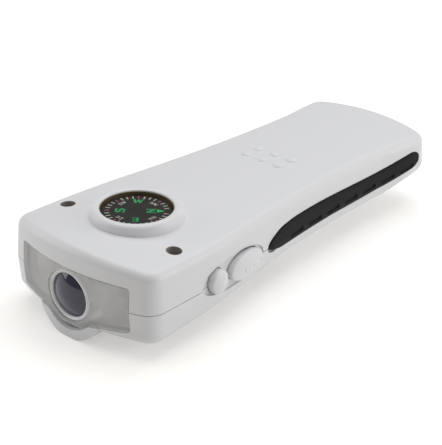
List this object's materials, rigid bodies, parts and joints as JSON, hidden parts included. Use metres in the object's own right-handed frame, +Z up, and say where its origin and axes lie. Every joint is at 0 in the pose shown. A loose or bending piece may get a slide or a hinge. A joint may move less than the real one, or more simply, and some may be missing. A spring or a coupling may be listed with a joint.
{
  "type": "hand crank flashlight",
  "caption": "Pocket flashlight charged by a fold-out crank underneath, with a clear lamp window, a compass on top, side buttons and rubber grips.",
  "frame": {"origin": "where the crank's axis meets the plane the light lies on, in the middle of the crank hub's flat underside", "axes": "+Z up through the compass, +Y from the lamp towards the tail so the beam leaves along -Y, +X towards the side with the buttons"},
  "size_m": [0.0532, 0.133, 0.0284],
  "materials": {
    "shell": "satin",
    "button": "satin",
    "clear_cover": "clear moulded",
    "lens": "polished",
    "lens_ring": "gloss",
    "reflector": "faceted mirror plating",
    "led": "clear moulded",
    "circuit_board": "solder mask",
    "compass_case": "satin",
    "compass_card": "matte print",
    "compass_cover": "polished",
    "magnet": "sintered",
    "brass": "turned",
    "switch_plunger": "matte",
    "switch_body": "matte",
    "grip": "matte",
    "crank": "satin",
    "steel": "turned",
    "gear_plastic": "acetal",
    "gearbox_plate": "matte",
    "screw": "zinc plated",
    "copper_wire": "enamelled winding",
    "capacitor": "sleeve",
    "cell": "plated can"
  },
  "bodies": {
    "housing": {"upper_shell": "shell", "lower_shell": "shell", "front_cover": "clear_cover", "lens_ring": "lens_ring", "centre_lens": "lens", "reflector": "reflector", "led_left": "led", "led_centre": "led", "led_right": "led", "led_board": "circuit_board", "compass_case": "compass_case", "compass_pivot": "brass", "compass_cover": "compass_cover", "front_switch": "switch_body", "rear_switch": "switch_body", "grip_right": "grip", "grip_left": "grip", "crank_bush": "gear_plastic", "first_axle": "steel", "second_axle": "steel", "gearbox_plate": "gearbox_plate", "gearbox_screws": "screw", "housing_screws": "screw", "stator_cup": "steel", "stator_plate": "steel", "stator_coil": "copper_wire", "main_board": "circuit_board", "smoothing_capacitor": "capacitor", "rectifier_diodes": "switch_body", "control_chip": "switch_body", "battery_cell_1": "cell", "battery_cell_2": "cell", "battery_cell_3": "cell", "battery_tabs": "steel"},
    "front_button": {"front_button": "button", "front_switch_plunger": "switch_plunger"},
    "rear_button": {"rear_button": "button", "rear_switch_plunger": "switch_plunger"},
    "compass_card": {"compass_card": "compass_card", "compass_magnet": "magnet"},
    "crank": {"crank_arm": "crank", "knob_hinge_pin": "steel", "crank_shaft": "steel", "shaft_clip": "steel", "drive_gear": "gear_plastic"},
    "knob_post": {"knob_post": "steel"},
    "crank_knob": {"crank_knob": "crank"},
    "first_gear": {"first_gear": "gear_plastic"},
    "second_gear": {"second_gear": "gear_plastic"},
    "rotor": {"rotor_shaft": "steel", "rotor_pinion": "brass", "rotor_magnet": "magnet"}
  },
  "joints": [
    {"name": "front_button_press", "type": "slide", "parent": "housing", "child": "front_button", "axis": [-1, 0, 0], "range_m": [0, 0.0004], "stiffness_N_per_m": 300},
    {"name": "rear_button_press", "type": "slide", "parent": "housing", "child": "rear_button", "axis": [-1, 0, 0], "range_m": [0, 0.0004], "stiffness_N_per_m": 300},
    {"name": "compass_spin", "type": "hinge", "parent": "housing", "child": "compass_card", "pos_m": [0, -0.048, 0.0261], "axis": [0, 0, 1], "continuous": true},
    {"name": "crank_spin", "type": "hinge", "parent": "housing", "child": "crank", "pos_m": [0, 0, 0.008], "axis": [0, 0, 1], "continuous": true},
    {"name": "knob_fold", "type": "hinge", "parent": "crank", "child": "knob_post", "pos_m": [0, 0.0338, 0.00275], "axis": [1, 0, 0], "range_deg": [0, 90]},
    {"name": "knob_spin", "type": "hinge", "parent": "knob_post", "child": "crank_knob", "pos_m": [0, 0.0224, 0.00275], "axis": [0, 1, 0], "continuous": true},
    {"name": "first_gear_spin", "type": "hinge", "parent": "housing", "child": "first_gear", "pos_m": [0, 0.0165, 0.013], "axis": [0, 0, 1], "continuous": true},
    {"name": "second_gear_spin", "type": "hinge", "parent": "housing", "child": "second_gear", "pos_m": [0.00194, 0.02784, 0.016], "axis": [0, 0, 1], "continuous": true},
    {"name": "rotor_spin", "type": "hinge", "parent": "housing", "child": "rotor", "pos_m": [-0.006, 0.02882, 0.013], "axis": [0, 0, 1], "continuous": true}
  ],
  "couplings": [
    {"joint": "first_gear_spin", "follows": "crank_spin", "ratio": -4},
    {"joint": "second_gear_spin", "follows": "crank_spin", "ratio": 14.4},
    {"joint": "rotor_spin", "follows": "crank_spin", "ratio": -57.6}
  ]
}
